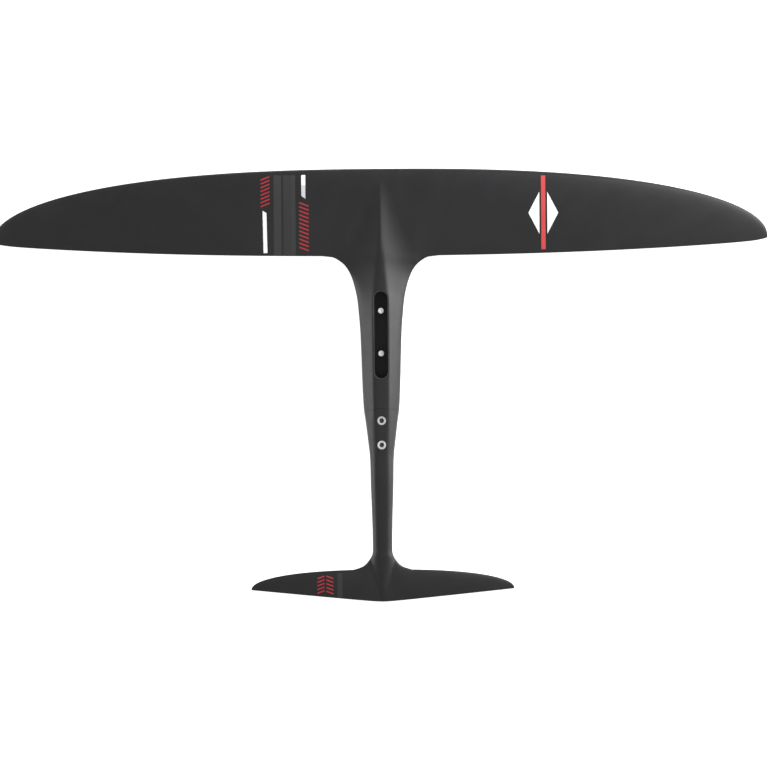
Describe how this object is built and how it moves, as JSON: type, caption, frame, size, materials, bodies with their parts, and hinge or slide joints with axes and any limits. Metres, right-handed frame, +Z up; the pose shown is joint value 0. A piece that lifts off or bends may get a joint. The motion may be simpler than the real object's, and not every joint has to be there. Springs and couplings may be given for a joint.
{
  "type": "hydrofoil wing set",
  "caption": "High-aspect hydrofoil front wing moulded in one with its fuselage, with a mast pocket and a bolt-on tail section that carries the stabilizer.",
  "frame": {"origin": "middle of the mast pocket's floor, halfway between the two mast bolts", "axes": "+X to starboard along the span, +Y forwards towards the front wing's nose, +Z up out of the mast pocket"},
  "size_m": [1.09, 0.6084, 0.0458],
  "materials": {
    "carbon_skin": "satin black carbon laminate",
    "carbon_spar": "bare unidirectional carbon",
    "carbon_laminate": "bare pressed carbon laminate",
    "foam_core": "rigid foam",
    "pocket_liner": "matte black",
    "stainless_steel": "bright stainless steel",
    "brass_insert": "turned brass"
  },
  "bodies": {
    "front_section": {"front_upper_skin": "carbon_skin", "front_lower_skin": "carbon_skin", "main_spar": "carbon_spar", "fuselage_core": "foam_core", "leading_core_left": "foam_core", "leading_core_right": "foam_core", "trailing_core_left": "foam_core", "trailing_core_right": "foam_core", "mast_pocket_liner": "pocket_liner", "front_tongue": "carbon_laminate", "mast_bolt_bush_front": "stainless_steel", "mast_bolt_bush_rear": "stainless_steel", "screw_insert_front": "brass_insert", "screw_insert_rear": "brass_insert"},
    "tail_section": {"tail_upper_skin": "carbon_skin", "tail_lower_skin": "carbon_skin", "tail_tongue": "carbon_laminate", "boom_core": "foam_core", "stabilizer_core": "carbon_laminate"},
    "front_tail_screw": {"tail_screw_front": "stainless_steel"},
    "rear_tail_screw": {"tail_screw_rear": "stainless_steel"},
    "front_mast_bolt": {"mast_bolt_front": "stainless_steel"},
    "rear_mast_bolt": {"mast_bolt_rear": "stainless_steel"}
  },
  "joints": [
    {"name": "tail_lift", "type": "slide", "parent": "front_section", "child": "tail_section", "axis": [0, 0, 1], "range_m": [0, 0.03]},
    {"name": "front_tail_screw_lift", "type": "slide", "parent": "tail_section", "child": "front_tail_screw", "axis": [0, 0, 1], "range_m": [0, 0.026]},
    {"name": "rear_tail_screw_lift", "type": "slide", "parent": "tail_section", "child": "rear_tail_screw", "axis": [0, 0, 1], "range_m": [0, 0.021]},
    {"name": "front_mast_bolt_turn", "type": "hinge", "parent": "front_section", "child": "front_mast_bolt", "pos_m": [0, 0.03, 0], "axis": [0, 0, 1], "continuous": true},
    {"name": "rear_mast_bolt_turn", "type": "hinge", "parent": "front_section", "child": "rear_mast_bolt", "pos_m": [0, -0.03, 0], "axis": [0, 0, 1], "continuous": true}
  ]
}
